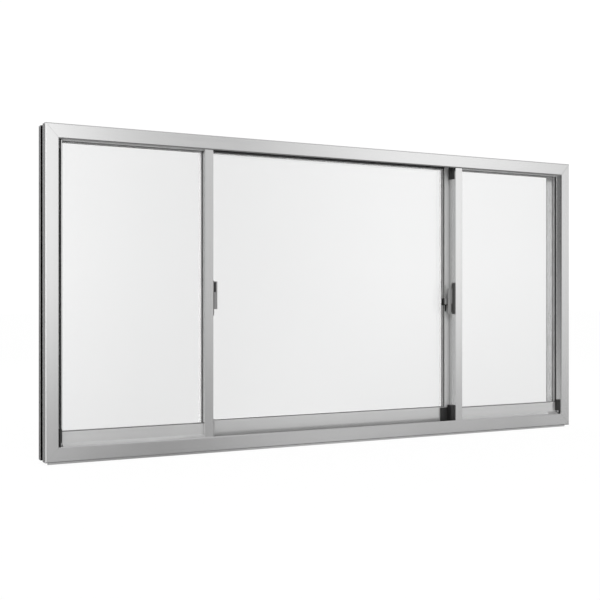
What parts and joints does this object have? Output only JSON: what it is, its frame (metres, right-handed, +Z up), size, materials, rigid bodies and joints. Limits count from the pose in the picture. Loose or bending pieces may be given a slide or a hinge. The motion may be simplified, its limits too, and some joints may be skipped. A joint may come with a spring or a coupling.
{
  "type": "horizontal sliding window",
  "caption": "Aluminium horizontal sliding window with a wide fixed middle lite, a sliding sash at each end, a thermally broken frame and insulating glass.",
  "frame": {"origin": "bottom centre of the window, on the plane of the sill's two legs", "axes": "+X along the width, to the right as seen from the room; +Y out towards the weather side; +Z up"},
  "size_m": [1.829, 0.083, 0.921],
  "materials": {
    "black_gasket": "matt",
    "black_plastic": "fine matt",
    "clear_glass": "clear float glass",
    "grey_latch": "satin",
    "roller": "smooth",
    "satin_aluminium": "satin clear anodised",
    "spacer_bar": "mill finish",
    "thermal_break": "matt black glass-filled polyamide"
  },
  "bodies": {
    "root": {"fixed_lite_bottom_rail": "satin_aluminium", "fixed_lite_gasket": "black_gasket", "fixed_lite_glass": "clear_glass", "fixed_lite_left_stile": "satin_aluminium", "fixed_lite_right_stile": "satin_aluminium", "fixed_lite_spacer": "spacer_bar", "fixed_lite_top_rail": "satin_aluminium", "frame_head_room_side": "satin_aluminium", "frame_head_thermal_break": "thermal_break", "frame_head_weather_side": "satin_aluminium", "frame_left_jamb_room_side": "satin_aluminium", "frame_left_jamb_thermal_break": "thermal_break", "frame_left_jamb_weather_side": "satin_aluminium", "frame_right_jamb_room_side": "satin_aluminium", "frame_right_jamb_thermal_break": "thermal_break", "frame_right_jamb_weather_side": "satin_aluminium", "frame_sill_room_side": "satin_aluminium", "frame_sill_thermal_break": "thermal_break", "frame_sill_weather_side": "satin_aluminium", "left_keeper": "black_plastic", "left_latch_base": "grey_latch", "left_latch_grip": "grey_latch", "left_sash_bottom_rail": "satin_aluminium", "left_sash_corner_block": "black_plastic", "left_sash_gasket": "black_gasket", "left_sash_glass": "clear_glass", "left_sash_jamb_stile": "satin_aluminium", "left_sash_meeting_stile": "satin_aluminium", "left_sash_roller_carriers": "black_plastic", "left_sash_rollers": "roller", "left_sash_spacer": "spacer_bar", "left_sash_top_rail": "satin_aluminium", "left_stile_foot_block": "black_plastic", "left_stile_top_block": "black_plastic", "right_keeper": "black_plastic", "right_latch_base": "grey_latch", "right_latch_grip": "grey_latch", "right_sash_bottom_rail": "satin_aluminium", "right_sash_corner_block": "black_plastic", "right_sash_foot_block": "black_plastic", "right_sash_gasket": "black_gasket", "right_sash_glass": "clear_glass", "right_sash_jamb_stile": "satin_aluminium", "right_sash_meeting_stile": "satin_aluminium", "right_sash_roller_carriers": "black_plastic", "right_sash_rollers": "roller", "right_sash_spacer": "spacer_bar", "right_sash_top_rail": "satin_aluminium", "right_stile_foot_block": "black_plastic", "right_stile_top_block": "black_plastic"}
  },
  "joints": []
}
